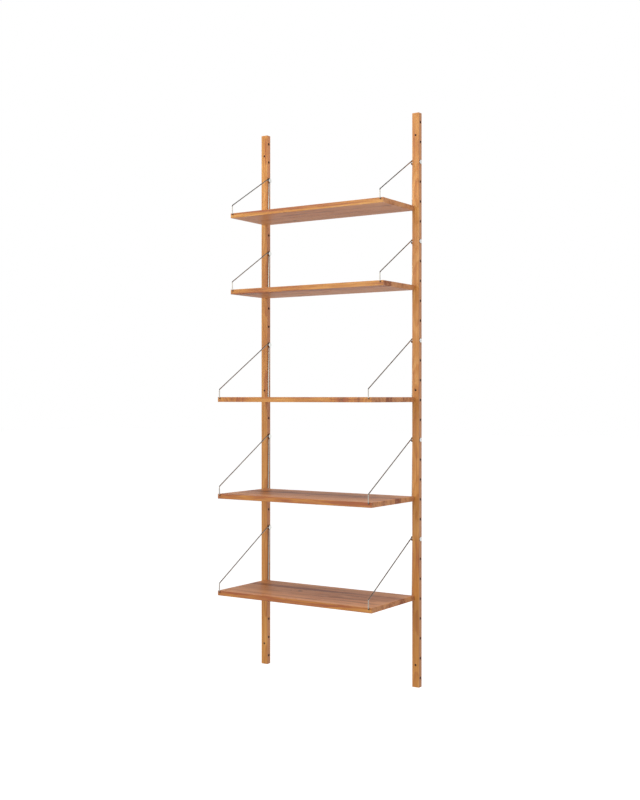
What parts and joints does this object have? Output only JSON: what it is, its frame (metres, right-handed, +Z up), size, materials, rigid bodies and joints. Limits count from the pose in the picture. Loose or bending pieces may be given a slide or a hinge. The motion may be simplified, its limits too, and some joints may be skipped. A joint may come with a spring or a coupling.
{
  "type": "ladder shelf",
  "caption": "Wall-mounted rail shelf: wooden shelves of two depths hung by bent steel wires from pins in the side holes of two tall wooden wall rails.",
  "frame": {"origin": "on the wall plane, at the centre of the four outer wall-screw holes (midway between the rails, at half their height)", "axes": "+Z up along the rails, +X along the wall towards the right rail as seen from the front, -Y out of the wall towards the front"},
  "size_m": [0.6286, 0.2946, 1.852],
  "materials": {
    "rail_wood": "oiled",
    "shelf_wood": "oiled",
    "wire_steel": "satin",
    "pin_steel": "polished"
  },
  "bodies": {
    "rails": {"rail_left": "rail_wood", "rail_right": "rail_wood", "pin_sleeve_1_left": "pin_steel", "pin_sleeve_1_right": "pin_steel", "pin_sleeve_2_left": "pin_steel", "pin_sleeve_2_right": "pin_steel", "pin_sleeve_3_left": "pin_steel", "pin_sleeve_3_right": "pin_steel", "pin_sleeve_4_left": "pin_steel", "pin_sleeve_4_right": "pin_steel", "pin_sleeve_5_left": "pin_steel", "pin_sleeve_5_right": "pin_steel", "pin_screw_1_left": "pin_steel", "pin_screw_1_right": "pin_steel", "pin_screw_2_left": "pin_steel", "pin_screw_2_right": "pin_steel", "pin_screw_3_left": "pin_steel", "pin_screw_3_right": "pin_steel", "pin_screw_4_left": "pin_steel", "pin_screw_4_right": "pin_steel", "pin_screw_5_left": "pin_steel", "pin_screw_5_right": "pin_steel"},
    "shelf_unit_1": {"shelf_1": "shelf_wood", "bracket_1_left": "wire_steel", "bracket_1_right": "wire_steel"},
    "shelf_unit_2": {"shelf_2": "shelf_wood", "bracket_2_left": "wire_steel", "bracket_2_right": "wire_steel"},
    "shelf_unit_3": {"shelf_3": "shelf_wood", "bracket_3_left": "wire_steel", "bracket_3_right": "wire_steel"},
    "shelf_unit_4": {"shelf_4": "shelf_wood", "bracket_4_left": "wire_steel", "bracket_4_right": "wire_steel"},
    "shelf_unit_5": {"shelf_5": "shelf_wood", "bracket_5_left": "wire_steel", "bracket_5_right": "wire_steel"}
  },
  "joints": [
    {"name": "shelf_1_tip", "type": "hinge", "parent": "rails", "child": "shelf_unit_1", "pos_m": [0, -0.0095, 0.768], "axis": [-1, 0, 0], "range_deg": [0, 120]},
    {"name": "shelf_2_tip", "type": "hinge", "parent": "rails", "child": "shelf_unit_2", "pos_m": [0, -0.0095, 0.512], "axis": [-1, 0, 0], "range_deg": [0, 52]},
    {"name": "shelf_3_tip", "type": "hinge", "parent": "rails", "child": "shelf_unit_3", "pos_m": [0, -0.0095, 0.192], "axis": [-1, 0, 0], "range_deg": [0, 65]},
    {"name": "shelf_4_tip", "type": "hinge", "parent": "rails", "child": "shelf_unit_4", "pos_m": [0, -0.0095, -0.128], "axis": [-1, 0, 0], "range_deg": [0, 51]},
    {"name": "shelf_5_tip", "type": "hinge", "parent": "rails", "child": "shelf_unit_5", "pos_m": [0, -0.0095, -0.448], "axis": [-1, 0, 0], "range_deg": [0, 51]}
  ]
}
